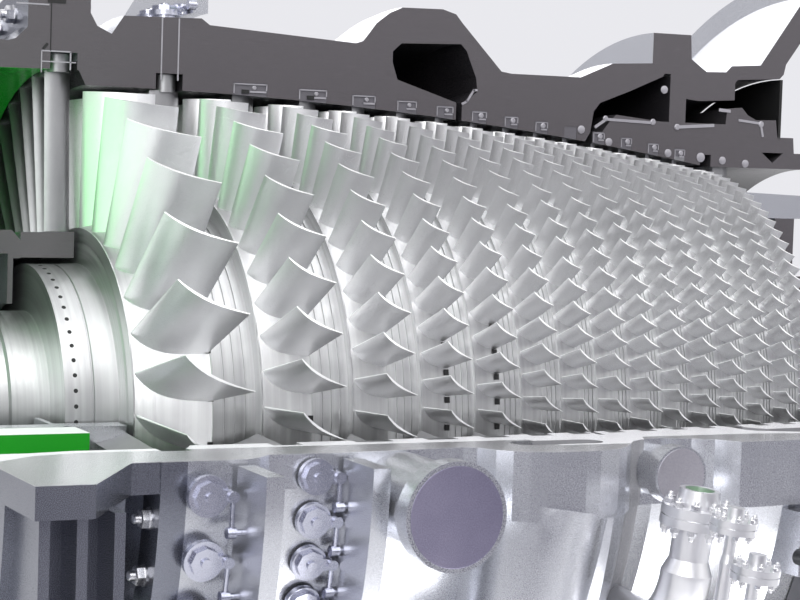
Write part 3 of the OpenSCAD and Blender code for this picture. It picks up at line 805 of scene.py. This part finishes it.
def area(name, loc, target, size, power, size_y=None, color=(1, 1, 1)):
    """Area lamp of size by size_y metres that points at the target."""
    light = bpy.data.lights.new(name, "AREA")
    light.color = color
    light.energy = power
    light.size = size
    if size_y:
        light.shape = "RECTANGLE"
        light.size_y = size_y
    obj = bpy.data.objects.new(name, light)
    obj.location = loc
    obj.rotation_euler = (Vector(target) - Vector(loc)).to_track_quat("-Z", "Y").to_euler()
    obj.visible_camera = False
    bpy.context.scene.collection.objects.link(obj)


area("key_top", (-0.6, -2.0, 3.3), (0.1, -0.1, 0.75), 3.4, 74, 2.8)
area("fill_left", (-2.3, -3.5, 1.9), (0.25, -0.2, 0.8), 1.8, 40)
area("fill_right", (3.0, -2.6, 2.6), (0.2, -0.2, 0.7), 2.0, 10)
area("back_top", (0.6, 2.6, 2.6), (0, 0, 0.9), 2.4, 30)
area("low_right", (0.26, -0.72, 0.04), (0.26, -0.62, 0.6), 0.7, 4.5, 0.3)
# Light thrown back by the green intake on the first blades.
area("intake_bounce", pt(-270, -130, 210), pt(40, -70, 180), 0.26, 0.20, color=(0.08, 1.0, 0.14))

world = bpy.data.worlds.new("studio")
world.use_nodes = True
bpy.context.scene.world = world
wt = world.node_tree


def world_node(kind, **values):
    """Adds a node to the world's tree."""
    n = wt.nodes.new(kind)
    for key, value in values.items():
        setattr(n, key, value)
    return n


# The room as the metal reflects it: its tone goes by the height that a ray points at.
LEVEL_LO, LEVEL_SPAN = -0.4, 1.1
bg = wt.nodes["Background"]
path = world_node("ShaderNodeLightPath")
tc = world_node("ShaderNodeTexCoord")
sep = world_node("ShaderNodeSeparateXYZ")
wt.links.new(tc.outputs["Generated"], sep.inputs[0])
height = world_node("ShaderNodeMapRange")
for socket, value in zip(height.inputs, (None, LEVEL_LO, 0.7, 0.0, 1.0)):
    if value is not None:
        socket.default_value = value
wt.links.new(sep.outputs[2], height.inputs[0])
ramp = world_node("ShaderNodeValToRGB")
wt.links.new(height.outputs[0], ramp.inputs[0])
stops = ((-0.4, (0.85, 0.85, 0.87)), (-0.27, (0.26, 0.25, 0.32)), (-0.17, (0.09, 0.085, 0.14)),
         (-0.08, (0.13, 0.125, 0.18)), (-0.01, (0.62, 0.62, 0.66)), (0.06, (1.0, 1.0, 1.0)),
         (0.5, (1.05, 1.05, 1.05)))
while len(ramp.color_ramp.elements) < len(stops):
    ramp.color_ramp.elements.new(0.5)
for element, (level, tone) in zip(ramp.color_ramp.elements, stops):
    element.position = (level - LEVEL_LO) / LEVEL_SPAN
    element.color = (*tone, 1)
# Upright bands stand for the hall: bright windows and violet-grey shade between them.
mapping = world_node("ShaderNodeMapping")
mapping.inputs["Scale"].default_value = (2.6, 2.6, 0.5)
wt.links.new(tc.outputs["Generated"], mapping.inputs["Vector"])
bands = world_node("ShaderNodeTexNoise")
bands.inputs["Scale"].default_value = 1.7
bands.inputs["Detail"].default_value = 2.5
wt.links.new(mapping.outputs[0], bands.inputs["Vector"])
band_ramp = world_node("ShaderNodeValToRGB")
wt.links.new(bands.outputs["Fac"], band_ramp.inputs[0])
band_ramp.color_ramp.elements[0].position = 0.40
band_ramp.color_ramp.elements[0].color = (0.26, 0.25, 0.34, 1)
band_ramp.color_ramp.elements[1].position = 0.56
band_ramp.color_ramp.elements[1].color = (1.0, 1.0, 1.0, 1)
product = world_node("ShaderNodeMix", data_type="RGBA", blend_type="MULTIPLY")
product.inputs[0].default_value = 0.5
wt.links.new(ramp.outputs[0], product.inputs[6])
wt.links.new(band_ramp.outputs[0], product.inputs[7])
wt.links.new(product.outputs[2], bg.inputs[0])
bg.inputs[1].default_value = 1.0
# The camera itself sees a plain pale background.
seen = world_node("ShaderNodeBackground")
seen.inputs[0].default_value = (0.86, 0.86, 0.90, 1)
seen.inputs[1].default_value = 0.95
choose = world_node("ShaderNodeMixShader")
wt.links.new(path.outputs["Is Camera Ray"], choose.inputs[0])
wt.links.new(bg.outputs[0], choose.inputs[1])
wt.links.new(seen.outputs[0], choose.inputs[2])
wt.links.new(choose.outputs[0], wt.nodes["World Output"].inputs[0])

# Pale floor that ends in front of the part.
FLOOR_HALF, FLOOR_FRONT = 9.0, -2.1
bm = bmesh.new()
quad = [bm.verts.new((x, y, 0)) for x, y in (
    (-FLOOR_HALF, FLOOR_FRONT), (FLOOR_HALF, FLOOR_FRONT),
    (FLOOR_HALF, FLOOR_HALF), (-FLOOR_HALF, FLOOR_HALF))]
bm.faces.new(quad)
mesh = bpy.data.meshes.new("floor")
bm.to_mesh(mesh)
bm.free()
floor = bpy.data.objects.new("floor", mesh)
bpy.context.scene.collection.objects.link(floor)
ft = Tree("floor_pale")
ft.color(ft.mix(ft.noise(2.0, 3.0), (0.70, 0.70, 0.71), (0.76, 0.76, 0.77)))
ft.bsdf.inputs["Roughness"].default_value = 0.6
mesh.materials.append(ft.mat)

# The camera that was solved from the photo: its place in tip radii, and its directions.
cam_data = bpy.data.cameras.new("camera")
cam = bpy.data.objects.new("camera", cam_data)
bpy.context.scene.collection.objects.link(cam)
cam_data.sensor_width = 36.0
cam_data.lens = 101.5
cam_data.clip_start, cam_data.clip_end = 0.05, 50
fw = Vector((0.4359, 0.8979, -0.0625)).normalized()
right = Vector((0.9, -0.4347, 0.0327))
right = (right - fw * right.dot(fw)).normalized()
up = right.cross(fw)
rot = Matrix((right, up, -fw)).transposed().to_4x4()
cam.matrix_world = Matrix.Translation(pt(-2.215 * TIP_R, -6.892 * TIP_R, 0.817 * TIP_R)) @ rot
bpy.context.scene.camera = cam
bpy.context.scene.view_settings.view_transform = "Standard"
